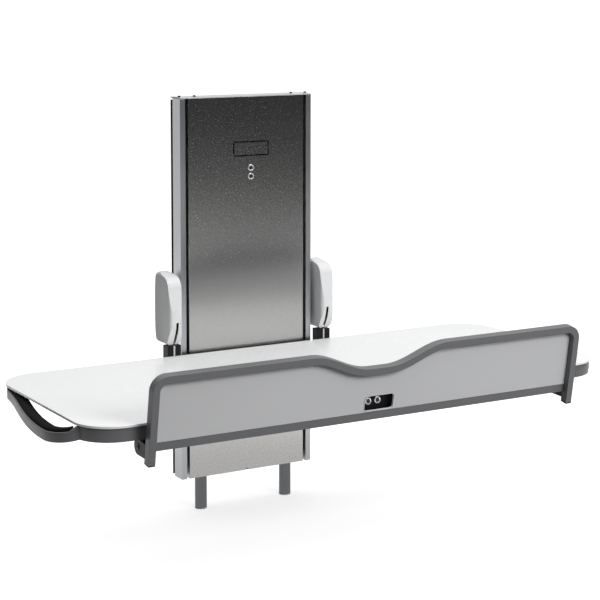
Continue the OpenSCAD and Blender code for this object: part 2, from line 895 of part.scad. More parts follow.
module button_box() {
    face = bed_front + frame_in - button_box_face;
    color("black") difference() {
        union() {
            span([bed_button_x - button_box_w / 2 + clear, face, frame_low + frame_wall + clear],
                [bed_button_x + button_box_w / 2 - clear, face + button_box_d,
                    bed_under - frame_wall - clear]);
            span([bed_button_x - button_box_w / 2, face, frame_low - box_lip],
                [bed_button_x + button_box_w / 2 + box_reach, face + button_box_face, bed_under - clear]);
        }
        for (x = bed_button_xs)
            rod_y(button_d / 2 + act_fit, face - cut, face + 2 * button_travel + clear, x, bed_button_z);
    }
}

module bed_bezels() {
    face = bed_front + frame_in - button_box_face;
    color("white") for (x = bed_button_xs) bezel(bed_bezel_d, x, face, bed_button_z);
}

module bed_button_up() {
    color("black") button(bed_button_xs[1], bed_front + frame_in - button_box_face, bed_button_z);
}

module bed_button_down() {
    color("black") button(bed_button_xs[0], bed_front + frame_in - button_box_face, bed_button_z);
}

// A point on the side of a guard's leg, from its height along the leg and its depth from the face
function leg_point(s, r) = [
    guard_foot_y - s * sin(guard_lean) + r * cos(guard_lean),
    guard_foot_z + s * cos(guard_lean) + r * sin(guard_lean)];

// The bracket stands behind the guard's leg, under the front rail and behind it, and carries the pin
module guard_bracket_right() {
    rail_front = bed_front + frame_in;
    rail_back = rail_front + frame_w;
    color("black") upright(guard_half - guard_w + lug_t + clear, guard_w - 2 * lug_t - 2 * clear)
        difference() {
            polygon([
                [rail_front + block_in, frame_low], [rail_back, frame_low],
                [rail_back, frame_low + block_rise], [pivot_y + block_back, frame_low + block_rise],
                [pivot_y + block_back, pivot_z], [pivot_y + block_back / 2, pivot_z - block_foot],
                [pivot_y - block_toe, pivot_z - block_foot], [rail_front + block_in, pivot_z]
            ]);
            translate([pivot_y, pivot_z]) circle(d = guard_pin_d);
        }
}

module guard_bracket_left() {
    mirror([1, 0, 0]) guard_bracket_right();
}

module guard_pins() {
    inner = guard_half - guard_w - clear;
    outer = guard_half + clear;
    color("silver") both() union() {
        rod_x(guard_pin_d / 2, inner - pin_head_t, outer + pin_head_t, pivot_y, pivot_z);
        rod_x(pin_head_d / 2, inner - pin_head_t, inner, pivot_y, pivot_z);
        rod_x(pin_head_d / 2, outer, outer + pin_head_t, pivot_y, pivot_z);
    }
}

module guard_lugs() {
    color("dimgray") both() for (x = [guard_half - guard_w, guard_half - lug_t])
        upright(x, lug_t) difference() {
            union() {
                translate([pivot_y, pivot_z]) circle(r = lug_r);
                polygon([
                    leg_point(lug_s0, guard_t), [pivot_y, pivot_z - lug_r],
                    [pivot_y, pivot_z + lug_r], leg_point(lug_s1, guard_t)
                ]);
            }
            translate([pivot_y, pivot_z]) circle(r = guard_pin_d / 2 + pin_fit);
        }
}

// Height of the guard's top edge at a place along it
function guard_top(x) = let (
    flat = dip_flat / 2, reach = dip_w / 2, a = abs(x),
    share = a <= flat ? 1 : a >= reach ? 0 : (1 + cos(180 * (a - flat) / (reach - flat))) / 2)
    guard_h - dip_d * share;
function guard_slope(x) = (guard_top(x + cut) - guard_top(x - cut)) / (2 * cut);

// Outline of the guard, drawn inwards by an inset, and run down past its feet by an overrun
function guard_line(inset, below) = let (
    r = guard_r - inset, half = guard_half - inset, top = guard_h - inset,
    dip = [for (i = [-dip_steps:dip_steps]) let (
        x = dip_w / 2 * i / dip_steps, m = guard_slope(x), k = inset / sqrt(1 + m * m))
        [x + m * k, guard_top(x) - k]]) concat(
    [[-half, -below]],
    [for (i = [0:corner_steps]) let (a = 90 * i / corner_steps)
        [-half + r - r * cos(a), top - r + r * sin(a)]],
    dip,
    [for (i = [0:corner_steps]) let (a = 90 - 90 * i / corner_steps)
        [half - r + r * cos(a), top - r + r * sin(a)]],
    [[half, -below]]);

// Stands a drawing of the guard, X along it and Y up it, with depth towards the wall, in its place
module in_guard(depth) {
    translate([0, guard_foot_y, guard_foot_z]) rotate([90 + guard_lean, 0, 0])
        translate([0, 0, -depth]) children();
}

module guard_frame() {
    color("gray") difference() {
        in_guard(guard_t) linear_extrude(guard_t) difference() {
            polygon(guard_line(0, 0));
            polygon(guard_line(guard_w, cut));
        }
        in_guard(guard_t - guard_wall) linear_extrude(guard_t - 2 * guard_wall) difference() {
            polygon(guard_line(guard_wall, cut));
            polygon(guard_line(guard_w - guard_wall, 2 * cut));
        }
    }
}

module guard_bottom_rail() {
    half = guard_half - guard_w;
    color("gray") in_guard(sheet_back + rail_deep - sheet_t)
        box_tube([-half, rail_s0, 0], [half, rail_s1, rail_deep], guard_wall, "x");
}

module guard_panel() {
    color("lightgray") difference() {
        in_guard(sheet_back) linear_extrude(sheet_t) intersection() {
            polygon(guard_line(guard_w, cut));
            translate([-guard_half, rail_s1]) square([guard_l, guard_h]);
        }
        in_guard(sheet_back + cut) linear_extrude(sheet_t + 2 * cut)
            translate([window_x, window_s0 + bezel_w + window_h / 2])
                round_rect(window_w + 2 * bezel_w, window_h + 2 * bezel_w, bezel_r);
    }
}

module window_bezel() {
    color("whitesmoke") in_guard(sheet_back) linear_extrude(sheet_t + bezel_out)
        translate([window_x, window_s0 + bezel_w + window_h / 2]) difference() {
            round_rect(window_w + 2 * bezel_w, window_h + 2 * bezel_w, bezel_r);
            round_rect(window_w, window_h, bezel_r - bezel_w);
        }
}

module guard_end_caps() {
    inner = guard_w - 2 * guard_wall;
    color("black") both() in_guard(guard_t) union() {
        translate([guard_half - guard_w, -end_cap_t, 0]) cube([guard_w, end_cap_t, guard_t]);
        translate([guard_half - guard_w + guard_wall, -cut, guard_wall])
            cube([inner, plug_h + cut, guard_t - 2 * guard_wall]);
    }
}

back_plate();
side_rail_left();
side_rail_right();
front_panel();
base_plate();
head_plate();
top_cap();
rail_caps();
cap_screws();
guide_tubes();
tube_feet();
actuator_base();
lift_motor();
actuator_outer_tube();
actuator_middle_tube();
actuator_inner_tube();
control_box();
power_supply();
blank_plate();
column_bezels();
column_switches();
column_button_up();
column_button_down();
carriage_plate();
slide_blocks();
slide_bushes();
lift_head();
side_brackets();
cover_left();
cover_right();
hinge_pins();
hinge_springs();
arm_left();
arm_right();
arm_shoe_left();
arm_shoe_right();
hinge_bushes();
board();
board_screws();
front_rail();
rear_rail();
outer_cross_rails();
inner_cross_rails();
end_handle_left();
end_handle_right();
handle_grip_left();
handle_grip_right();
button_box();
bed_bezels();
bed_button_up();
bed_button_down();
guard_bracket_left();
guard_bracket_right();
guard_pins();
guard_frame();
guard_lugs();
guard_bottom_rail();
guard_panel();
window_bezel();
guard_end_caps();
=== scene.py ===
"""Adult changing station on its lifting column: materials, detail pieces, light and camera."""
import json
import math

import bmesh
import bpy
from mathutils import Matrix, Vector


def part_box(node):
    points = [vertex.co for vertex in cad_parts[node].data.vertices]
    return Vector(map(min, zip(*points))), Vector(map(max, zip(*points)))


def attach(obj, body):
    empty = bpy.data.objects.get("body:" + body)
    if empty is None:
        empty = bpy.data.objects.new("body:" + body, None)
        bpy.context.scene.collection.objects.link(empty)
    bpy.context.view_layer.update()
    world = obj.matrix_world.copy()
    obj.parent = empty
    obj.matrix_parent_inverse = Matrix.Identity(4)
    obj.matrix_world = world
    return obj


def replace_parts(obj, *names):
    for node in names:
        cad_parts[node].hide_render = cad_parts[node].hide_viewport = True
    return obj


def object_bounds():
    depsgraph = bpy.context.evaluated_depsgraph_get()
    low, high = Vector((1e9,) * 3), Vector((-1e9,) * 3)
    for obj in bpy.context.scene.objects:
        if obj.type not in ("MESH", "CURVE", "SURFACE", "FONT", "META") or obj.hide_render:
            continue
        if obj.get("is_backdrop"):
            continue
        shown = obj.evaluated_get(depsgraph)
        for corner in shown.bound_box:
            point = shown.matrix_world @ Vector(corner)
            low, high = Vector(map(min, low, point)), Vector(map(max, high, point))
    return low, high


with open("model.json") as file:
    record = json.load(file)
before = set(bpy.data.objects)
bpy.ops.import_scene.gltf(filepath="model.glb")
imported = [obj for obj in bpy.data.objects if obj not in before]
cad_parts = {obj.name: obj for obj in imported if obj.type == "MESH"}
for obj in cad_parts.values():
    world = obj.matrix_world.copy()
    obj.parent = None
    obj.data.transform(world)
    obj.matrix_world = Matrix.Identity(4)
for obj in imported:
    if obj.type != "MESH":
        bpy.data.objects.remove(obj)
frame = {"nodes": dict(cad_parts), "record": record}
NODES = frame["nodes"]
low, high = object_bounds()
MM = 0.001
SIDES = ((1, "right"), (-1, "left"))
OUTWARD, UPWARD = (0, -1, 0), (0, 0, 1)
QUARTER = math.pi / 2


# Camera, solved from the outline in the photo: angles in radians, the photo's own lengths in pixels

YAW, PITCH, ROLL = 0.556, -0.106, 0.005
EYE = (-2.779, -5.323, 1.031)
PHOTO_SIZE, FOCAL = 600.0, 1791.0
AXIS_X, AXIS_Y = 370.7, 166.5
SENSOR = 36.0
CLIP_NEAR, CLIP_FAR = 0.05, 200.0

scene = bpy.context.scene
forward = Vector((math.sin(YAW) * math.cos(PITCH), math.cos(YAW) * math.cos(PITCH), math.sin(PITCH)))
level = Vector((math.cos(YAW), -math.sin(YAW), 0.0))
upward = level.cross(forward)
right = math.cos(ROLL) * level + math.sin(ROLL) * upward
top = -math.sin(ROLL) * level + math.cos(ROLL) * upward
camera_data = bpy.data.cameras.new("camera")
camera = bpy.data.objects.new("camera", camera_data)
scene.collection.objects.link(camera)
camera_data.sensor_width = SENSOR
camera_data.lens = FOCAL / PHOTO_SIZE * SENSOR
camera_data.shift_x = (PHOTO_SIZE / 2 - AXIS_X) / PHOTO_SIZE
camera_data.shift_y = (AXIS_Y - PHOTO_SIZE / 2) / PHOTO_SIZE
camera_data.clip_start, camera_data.clip_end = CLIP_NEAR, CLIP_FAR
camera.matrix_world = Matrix.Translation(Vector(EYE)) @ Matrix((right, top, -forward)).transposed().to_4x4()
scene.camera = camera


# Materials

WHITE = (1, 1, 1, 1)
FINE_DETAIL, FINE_ROUGHNESS = 4.0, 0.6
SLOW_DETAIL, SLOW_ROUGHNESS = 2.0, 0.55
SLOW_SHARE = 0.4
NOISE_LOW, NOISE_HIGH = 0.3, 0.7


class Tree:
    """A short way to build a node tree."""

    def __init__(self, tree):
        self.tree = tree
        self.tree.nodes.clear()

    def add(self, kind, **values):
        made = self.tree.nodes.new(kind)
        for key, value in values.items():
            setattr(made, key, value)
        return made

    def link(self, a, b):
        self.tree.links.new(a, b)

    def feed(self, value, slot):
        """Links an output, or sets a plain number."""
        if isinstance(value, float):
            slot.default_value = value
        else:
            self.link(value, slot)

    def combine(self, operation, a, b):
        made = self.add("ShaderNodeMath", operation=operation)
        self.feed(a, made.inputs[0])
        self.feed(b, made.inputs[1])
        return made.outputs["Value"]

    def spread(self, value, low_in, high_in, low_out, high_out, kind="LINEAR"):
        made = self.add("ShaderNodeMapRange", interpolation_type=kind)
        made.inputs["From Min"].default_value = low_in
        made.inputs["From Max"].default_value = high_in
        made.inputs["To Min"].default_value = low_out
        made.inputs["To Max"].default_value = high_out
        self.link(value, made.inputs["Value"])
        return made.outputs["Result"]

    def by_ray(self, kind, hit, other):
        """One shader for rays of that kind, the other one for the rest."""
        ray = self.add("ShaderNodeLightPath")
        made = self.add("ShaderNodeMixShader")
        self.link(ray.outputs[kind], made.inputs["Fac"])
        self.link(other, made.inputs[1])
        self.link(hit, made.inputs[2])
        return made.outputs["Shader"]


class Nodes(Tree):
    """The node tree of one new material."""

    def __init__(self, name):
        self.material = bpy.data.materials.new(name)
        self.material.use_nodes = True
        super().__init__(self.material.node_tree)
        self.out = self.add("ShaderNodeOutputMaterial")
        self.shader = self.add("ShaderNodeBsdfPrincipled")
        self.link(self.shader.outputs["BSDF"], self.out.inputs["Surface"])

    def place(self, scale=(1, 1, 1)):
        spot = self.add("ShaderNodeTexCoord")
        mapping = self.add("ShaderNodeMapping")
        mapping.inputs["Scale"].default_value = scale
        self.link(spot.outputs["Object"], mapping.inputs["Vector"])
        return mapping.outputs["Vector"]

    def noise(self, vector, scale, detail, rough):
        made = self.add("ShaderNodeTexNoise")
        made.inputs["Scale"].default_value = scale
        made.inputs["Detail"].default_value = detail
        made.inputs["Roughness"].default_value = rough
        self.link(vector, made.inputs["Vector"])
        return made.outputs["Fac"]

    def blend(self, factor, first, second):
        made = self.add("ShaderNodeMix", data_type="RGBA")
        made.inputs["A"].default_value = (*first, 1)
        made.inputs["B"].default_value = (*second, 1)
        self.link(factor, made.inputs["Factor"])
        return made.outputs["Result"]

    def bump(self, height, strength, distance):
        made = self.add("ShaderNodeBump")
        made.inputs["Strength"].default_value = strength
        made.inputs["Distance"].default_value = distance
        self.link(height, made.inputs["Height"])
        self.link(made.outputs["Normal"], self.shader.inputs["Normal"])

    def total(self, a, b, share):
        made = self.add("ShaderNodeMix", data_type="FLOAT")
        made.inputs["Factor"].default_value = share
        self.link(a, made.inputs["A"])
        self.link(b, made.inputs["B"])
        return made.outputs["Result"]


def shade(colour, factor):
    return tuple(min(1.0, c * factor) for c in colour)


def finish(name, colour, metallic, rough, vary=0.12, grain=60, cloud=6.0, bump=0.15, depth=0.0002,
           rough_vary=0.08, coat=0.0, coat_rough=0.1, specular=0.5, anisotropic=0.0):
    """A surface with fine grain, slow cloudy variation, and both in its colour and its roughness.

    The grain is one number per metre, or three along X, Y and Z; the bump's depth is in metres.
    """
    n = Nodes(name)
    scale = (grain, grain, grain) if isinstance(grain, int) else grain
    fine_noise = n.noise(n.place(scale), 1.0, FINE_DETAIL, FINE_ROUGHNESS)
    slow_noise = n.noise(n.place(), cloud, SLOW_DETAIL, SLOW_ROUGHNESS)
    both = n.total(fine_noise, slow_noise, SLOW_SHARE)
    n.link(n.blend(n.spread(both, NOISE_LOW, NOISE_HIGH, 0.0, 1.0), shade(colour, 1 - vary),
                   shade(colour, 1 + vary)), n.shader.inputs["Base Color"])
    n.link(n.spread(both, NOISE_LOW, NOISE_HIGH, rough - rough_vary, rough + rough_vary),
           n.shader.inputs["Roughness"])
    n.bump(fine_noise, bump, depth)
    for key, value in (("Metallic", metallic), ("Specular IOR Level", specular), ("Coat Weight", coat),
                       ("Coat Roughness", coat_rough), ("Anisotropic", anisotropic)):
        n.shader.inputs[key].default_value = value
    return n.material


MATERIALS = {
    "stainless": finish(
        "brushed_stainless", (0.62, 0.613, 0.604), metallic=1.0, rough=0.23, vary=0.14,
        grain=(420, 60, 200), cloud=230.0, bump=0.4, depth=0.00012, rough_vary=0.065, anisotropic=0.15),
    "rail_aluminium": finish(
        "satin_aluminium", (0.6, 0.615, 0.63), metallic=1.0, rough=0.34, vary=0.05,
        grain=(900, 900, 12), cloud=4.0, bump=0.08, depth=0.00005, rough_vary=0.05),
    "dark_steel": finish(
        "dark_steel", (0.05, 0.05, 0.054), metallic=0.4, rough=0.5, vary=0.25, grain=300, cloud=8.0),
    "tube_steel": finish(
        "drawn_tube", (0.2, 0.205, 0.212), metallic=1.0, rough=0.3, vary=0.08,
        grain=(700, 700, 8), cloud=5.0, bump=0.1, depth=0.00005, rough_vary=0.06),
    "bright_steel": finish(
        "bright_steel", (0.75, 0.76, 0.77), metallic=1.0, rough=0.16, vary=0.06,
        grain=500, cloud=9.0, bump=0.06, depth=0.00004, rough_vary=0.05),
    "spring_steel": finish(
        "spring_steel", (0.3, 0.3, 0.31), metallic=1.0, rough=0.35, vary=0.15, grain=(900, 300, 300)),
    "bush_plastic": finish(
        "bush_plastic", (0.72, 0.68, 0.56), metallic=0.0, rough=0.45, vary=0.06, grain=400),
    "white_plastic": finish(
        "moulded_white", (0.66, 0.665, 0.67), metallic=0.0, rough=0.42, vary=0.02,
        grain=900, cloud=3.0, bump=0.06, depth=0.00005, rough_vary=0.04, specular=0.45),
    "cap_grey": finish(
        "moulded_pale_grey", (0.5, 0.51, 0.52), metallic=0.0, rough=0.5, vary=0.05,
        grain=700, cloud=5.0, bump=0.15, depth=0.0001, rough_vary=0.06),
    "board_white": finish(
        "white_laminate", (0.86, 0.865, 0.87), metallic=0.0, rough=0.26, vary=0.01, grain=700, cloud=2.0,
        bump=0.06, depth=0.00004, rough_vary=0.05, coat=0.15, coat_rough=0.12),
    "grey_paint": finish(
        "grey_powder_coat", (0.125, 0.127, 0.133), metallic=0.0, rough=0.42, vary=0.12,
        grain=1500, cloud=7.0, bump=0.22, depth=0.0001, rough_vary=0.07, specular=0.4),
    "guard_aluminium": finish(
        "guard_powder_coat", (0.125, 0.127, 0.132), metallic=0.0, rough=0.4, vary=0.1,
        grain=1500, cloud=7.0, bump=0.2, depth=0.0001, rough_vary=0.07, specular=0.45),
    "black_rubber": finish(
        "soft_grip", (0.006, 0.006, 0.0065), metallic=0.0, rough=0.7, vary=0.3,
        grain=1200, cloud=12.0, bump=0.3, depth=0.0001, rough_vary=0.06, specular=0.05),
    "black_plastic": finish(
        "black_plastic", (0.008, 0.008, 0.009), metallic=0.0, rough=0.5, vary=0.3,
        grain=1200, cloud=12.0, bump=0.3, depth=0.0001, rough_vary=0.08, specular=0.12),
    "black_metal": finish(
        "black_metal", (0.011, 0.011, 0.012), metallic=0.1, rough=0.42, vary=0.3,
        grain=900, cloud=9.0, bump=0.2, depth=0.0001, rough_vary=0.08, specular=0.18),
    "panel_grey": finish(
        "guard_panel_grey", (0.58, 0.583, 0.592), metallic=0.0, rough=0.36, vary=0.03,
        grain=900, cloud=3.0, bump=0.1, depth=0.00006, rough_vary=0.06, specular=0.35),
    "motor_metal": finish("cast_metal", (0.3, 0.31, 0.33), metallic=0.9, rough=0.5, vary=0.15, grain=300),
    "button_black": finish(
        "button_black", (0.015, 0.015, 0.016), metallic=0.0, rough=0.32, vary=0.2, grain=900),
}
CHROME = finish("bezel_chrome", (0.86, 0.86, 0.87), metallic=0.7, rough=0.24, vary=0.05, grain=600)
SCREW = finish("blacked_screw", (0.03, 0.03, 0.032), metallic=0.7, rough=0.35, vary=0.2, grain=600)
SEAM = finish(
    "shadow_line", (0.004, 0.004, 0.004), metallic=0.0, rough=0.7, vary=0.2, grain=600, specular=0.05)

slot_of = {s["node"]: s["material_slot"] for s in frame["record"]["subparts"]}
body_of = {n: b for b, members in frame["record"]["behaviour"]["bodies"].items() for n in members}
for name, node in NODES.items():
    node.data.materials.clear()
    node.data.materials.append(MATERIALS[slot_of[name]])


# Pieces

SMOOTH_ANGLE, SWEPT_ANGLE, TURNED_ANGLE = math.radians(40), math.radians(50), math.radians(32)
SAME_POINT = 2e-6
FLAT_ANGLE, EDGE_ANGLE = math.radians(0.5), math.radians(35)
EDGE_SEGMENTS = 3


def piece(name, mesh, body, slot, material=None):
    made = bpy.data.objects.new(name, mesh)
    scene.collection.objects.link(made)
    made.data.materials.clear()
    made.data.materials.append(material or MATERIALS[slot])
    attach(made, body)
    return made


def from_bmesh(name, work, body, slot, material=None, smooth=SMOOTH_ANGLE):
    bmesh.ops.recalc_face_normals(work, faces=work.faces)
    for face in work.faces:
        face.smooth = True
    for edge in work.edges:
        edge.smooth = len(edge.link_faces) == 2 and edge.calc_face_angle(0.0) < smooth
    mesh = bpy.data.meshes.new(name)
    work.to_mesh(mesh)
    work.free()
    return piece(name, mesh, body, slot, material)


def softened(node, width, material=None):
    """The node's own shape with its edges broken by `width` mm, as the real piece has them."""
    work = bmesh.new()
    work.from_mesh(NODES[node].data)
    bmesh.ops.remove_doubles(work, verts=work.verts, dist=SAME_POINT)
    bmesh.ops.dissolve_limit(work, angle_limit=FLAT_ANGLE, verts=work.verts, edges=work.edges)
    made = from_bmesh(node + "_dressed", work, body_of[node], slot_of[node], material)
    bevel = made.modifiers.new("edges", "BEVEL")
    bevel.width, bevel.segments, bevel.limit_method = width * MM, EDGE_SEGMENTS, "ANGLE"
    bevel.angle_limit, bevel.harden_normals = EDGE_ANGLE, True
    bevel.use_clamp_overlap = True
    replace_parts(made, node)
    return made


for name, width in {
    "side_rail_left": 0.7, "side_rail_right": 0.7, "base_plate": 0.8, "top_cap": 0.8,
    "rail_caps": 0.8, "guide_tubes": 0.6, "tube_feet": 0.8, "arm_left": 0.8, "arm_right": 0.8,
    "arm_shoe_left": 1.6, "arm_shoe_right": 1.6, "board": 1.6, "front_rail": 2.0, "rear_rail": 2.0,
    "outer_cross_rails": 1.6, "inner_cross_rails": 1.6, "guard_bracket_left": 1.8,
    "guard_bracket_right": 1.8, "guard_frame": 2.6, "guard_bottom_rail": 1.6, "guard_panel": 0.6,
    "window_bezel": 1.0, "guard_end_caps": 1.0, "guard_lugs": 0.6, "button_box": 1.0,
    "carriage_plate": 0.6,
    "side_brackets": 0.8, "cover_left": 1.4, "cover_right": 1.4, "blank_plate": 0.3,
}.items():
    softened(name, width)

# The front panel's two long bends have a wider radius than its cut edges, and its flat stays flat
BEND_R, BEND_SEGMENTS, PANEL_EDGE = 0.0025, 6, 0.4
ON_FACE, LONG_EDGE = 1e-4, 0.5
bent = softened("front_panel", PANEL_EDGE)
layer = bent.data.attributes.new("bevel_weight_edge", "FLOAT", "EDGE")
panel_low, panel_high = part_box("front_panel")
for edge in bent.data.edges:
    ends = [bent.data.vertices[v].co for v in edge.vertices]
    outer = all(abs(v.y - panel_low[1]) < ON_FACE and abs(abs(v.x) - panel_high[0]) < ON_FACE for v in ends)
    layer.data[edge.index].value = 1.0 if outer and abs(ends[0].z - ends[1].z) > LONG_EDGE else 0.0
bends = bent.modifiers.new("bends", "BEVEL")
bends.width, bends.segments, bends.limit_method = BEND_R, BEND_SEGMENTS, "WEIGHT"
bends.harden_normals, bends.use_clamp_overlap = True, False
bent.modifiers.move(1, 0)
bent.modifiers.new("flat", "WEIGHTED_NORMAL").keep_sharp = True


# Hand-holds: smooth swept forms over the frame's own path, bowed out between Y0 and Y1

(_, FRONT, UNDER), (HALF, BACK, _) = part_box("board")
FRONT_R, BACK_R, INSET = 0.114, 0.130, 0.004
ARC_X, REAR_X = HALF - FRONT_R, HALF - BACK_R
FRONT_ARC_Y, BACK_ARC_Y = FRONT + FRONT_R, BACK - BACK_R
BOW_START, BOW_END, SKIN_PAST = 0.023, 0.005, 0.023
Y0, Y1, Y2 = FRONT_ARC_Y - BOW_START, BACK - FRONT_R - BOW_END, BACK - FRONT_R + SKIN_PAST
OUT, DIP, PEAK = 0.062, 0.016, 0.2
RISE_POWER, FALL_POWER = 0.55, 1.25
FRAME_H, FRAME_W, GRIP_W, SKIN = 0.040, 0.025, 0.038, 0.006
TOP_Z, LOW_Z = UNDER, UNDER - FRAME_H
FRONT_BLEND, BACK_BLEND = 0.012, 0.012
DROP = 0.010
SKIN_R, GRIP_R = 0.0026, 0.008
GRIP_GAP, GRIP_THIN, GRIP_LIP = 0.0001, 0.002, 0.001
GRIP_SHARE = 0.25
ARC_STEPS, CORNER_STEPS, GRIP_CORNER_STEPS = 34, 4, 5
STRAIGHT_STEPS = 3 * ARC_STEPS
RADIUS_LIMIT = 2.05


def rise(y):
    u = (y - Y0) / (Y1 - Y0)
    if u <= 0 or u >= 1:
        return 0.0
    if u < PEAK:
        return math.sin(QUARTER * u / PEAK) ** RISE_POWER
    return max(0.0, math.cos(QUARTER * (u - PEAK) / (1 - PEAK))) ** FALL_POWER


def hold_path():
    """Points (x, y, rise) from the front rail round both corners to the rear rail."""
    front_r, back_r = FRONT_R - INSET, BACK_R - INSET
    base = []
    for i in range(ARC_STEPS + 1):
        a = QUARTER * i / ARC_STEPS
        base.append((ARC_X + front_r * math.sin(a), FRONT_ARC_Y - front_r * math.cos(a)))
    for i in range(1, STRAIGHT_STEPS + 1):
        base.append((HALF - INSET, FRONT_ARC_Y + (BACK_ARC_Y - FRONT_ARC_Y) * i / STRAIGHT_STEPS))
    for i in range(1, ARC_STEPS + 1):
        a = QUARTER * i / ARC_STEPS
        base.append((REAR_X + back_r * math.cos(a), BACK_ARC_Y + back_r * math.sin(a)))
    return [(x + OUT * rise(y), y, rise(y)) for x, y in base]


def rounded(near, far, high_z, low_z, radius, corner=CORNER_STEPS):
    """A rounded rectangle as (across, up) points, from the outside inwards."""
    radius = min(radius, abs(far - near) / RADIUS_LIMIT, (high_z - low_z) / RADIUS_LIMIT)
    points = []
    for cx, cz, start in ((near + radius, high_z - radius, 90), (near + radius, low_z + radius, 180),
                          (far - radius, low_z + radius, 270), (far - radius, high_z - radius, 0)):
        for i in range(corner + 1):
            a = math.radians(start + 90 * i / corner)
            points.append((cx + radius * math.cos(a), cz + radius * math.sin(a)))
    return points


def swept(name, slot, side, first, last, section):
    """Sweeps a section that may change along the path; the section gives (across, up) points at a Y."""
    work = bmesh.new()
    rows = []
    for i in range(first, last + 1):
        x, y, r = path[i]
        if i == 0:
            tx, ty = 1.0, 0.0
        elif i == len(path) - 1:
            tx, ty = -1.0, 0.0
        else:
            tx, ty = path[i + 1][0] - path[i - 1][0], path[i + 1][1] - path[i - 1][1]
        size = math.hypot(tx, ty)
        nx, ny = -ty / size, tx / size
        rows.append([work.verts.new((side * (x + nx * a), y + ny * a, z - DIP * r)) for a, z in section(y)])
    count = len(rows[0])
    for a, b in zip(rows, rows[1:]):
        for k in range(count):
            work.faces.new((a[k], a[(k + 1) % count], b[(k + 1) % count], b[k]))
    work.faces.new(rows[0])
    work.faces.new(list(reversed(rows[-1])))
    return from_bmesh(name, work, "bed", slot, smooth=SWEPT_ANGLE)


def share(y):
    """How much of the hand-hold's own section there is at a Y; the rest is the frame's."""
    return max(0.0, min(1.0, (y - Y0) / FRONT_BLEND, (Y2 - y) / BACK_BLEND))


def depth_at(y, w):
    return FRAME_W + (w - FRAME_W) * share(y)


def skin_section(y):
    return rounded(0.0, depth_at(y, SKIN), TOP_Z - DROP * share(y), LOW_Z, SKIN_R)


def grip_section(y):
    skin = depth_at(y, SKIN)
    return rounded(skin + GRIP_GAP, max(depth_at(y, GRIP_W), skin + GRIP_THIN), TOP_Z - GRIP_LIP,
                   LOW_Z + GRIP_LIP, GRIP_R, GRIP_CORNER_STEPS)


path = hold_path()
grip_at = [i for i, p in enumerate(path) if share(p[1]) > GRIP_SHARE]

for side, word in SIDES:
    for node, slot, first, last, section in (
            ("end_handle_" + word, "grey_paint", 0, len(path) - 1, skin_section),
            ("handle_grip_" + word, "black_rubber", grip_at[0], grip_at[-1], grip_section)):
        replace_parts(swept(node + "_swept", slot, side, first, last, section), node)


# Fasteners and buttons

TURN_STEPS, SCREW_STEPS, RING_STEPS = 40, 36, 56
SCREW_PROFILE = ((0, 0), (1, 0), (1, 0.3), (0.93, 0.62), (0.76, 0.88), (0.55, 1), (0.42, 1), (0.4, 0.92),
                 (0.4, 0.35), (0, 0.3))
# A button's cap: (in from its edge, down from its front), then (share of its radius, down from its front)
CAP_RIM = ((0.0, 0.0012), (0.0003, 0.0006), (0.0011, 0.0001))
CAP_DISH = ((0.6, 0.0), (0.45, 0.0004), (0, 0.0007))
# A bezel's ring: (in from its edge, up from the panel), then the throat's (radius, up from the panel)
RING_RIM = ((0.0, 0.0001), (0.0, 0.0009), (0.0004, 0.0017), (0.0012, 0.0023), (0.002, 0.0024))
RING_FOOT = (0.0066, 0.0001)
RING_THROAT = ((0.0078, 0.0021), (0.0069, 0.0014))
COLUMN_RING_R, BED_RING_R = 0.01075, 0.011


def turned(name, body, slot, profile, origin, axis, material=None, count=TURN_STEPS):
    """A turned form from (radius, height) points about an axis."""
    work = bmesh.new()
    spin = Vector(UPWARD).rotation_difference(Vector(axis)).to_matrix()
    rows = []
    for radius, height in profile:
        if radius == 0:
            rows.append([work.verts.new(Vector(origin) + spin @ Vector((0, 0, height)))])
            continue
        rows.append([work.verts.new(Vector(origin) + spin @ Vector(
            (radius * math.cos(2 * math.pi * k / count), radius * math.sin(2 * math.pi * k / count), height)))
            for k in range(count)])
    for a, b in zip(rows, rows[1:]):
        for k in range(count):
            ring = [a[k % len(a)], a[(k + 1) % len(a)], b[(k + 1) % len(b)], b[k % len(b)]]
            ring = list(dict.fromkeys(ring))
            if len(ring) > 2:
                work.faces.new(ring)
    return from_bmesh(name, work, body, slot, material, smooth=TURNED_ANGLE)


def socket_screw(name, body, slot, radius, height, origin, axis):
    """A button-head screw with a socket in it."""
    profile = [(radius * across, height * up) for across, up in SCREW_PROFILE]
    return turned(name, body, slot, profile, origin, axis, SCREW, SCREW_STEPS)


places = []
for name in ("column_button_up", "column_button_down", "bed_button_up", "bed_button_down"):
    (x0, front_y, z0), (x1, back_y, z1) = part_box(name)
    x, z, r, length = (x0 + x1) / 2, (z0 + z1) / 2, (x1 - x0) / 2, back_y - front_y
    places.append((x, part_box("front_panel" if "column" in name else "button_box")[0][1], z))
    profile = [(0, 0), (r, 0)]
    profile += [(r - inset, length - down) for inset, down in CAP_RIM]
    profile += [(r * part, length - down) for part, down in CAP_DISH]
    cap = turned(name + "_cap", name, "button_black", profile, (x, back_y, z), OUTWARD)
    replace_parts(cap, name)

for node, spots, outer in (("column_bezels", places[:2], COLUMN_RING_R),
                           ("bed_bezels", places[2:], BED_RING_R)):
    profile = [RING_FOOT, *((outer - inset, up) for inset, up in RING_RIM), *RING_THROAT, RING_FOOT]
    rings = [turned(node + "_ring_" + str(i), body_of[node], "bright_steel", profile, spot, OUTWARD, CHROME,
                    RING_STEPS) for i, spot in enumerate(spots)]
    for ring in rings:
        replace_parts(ring, node)

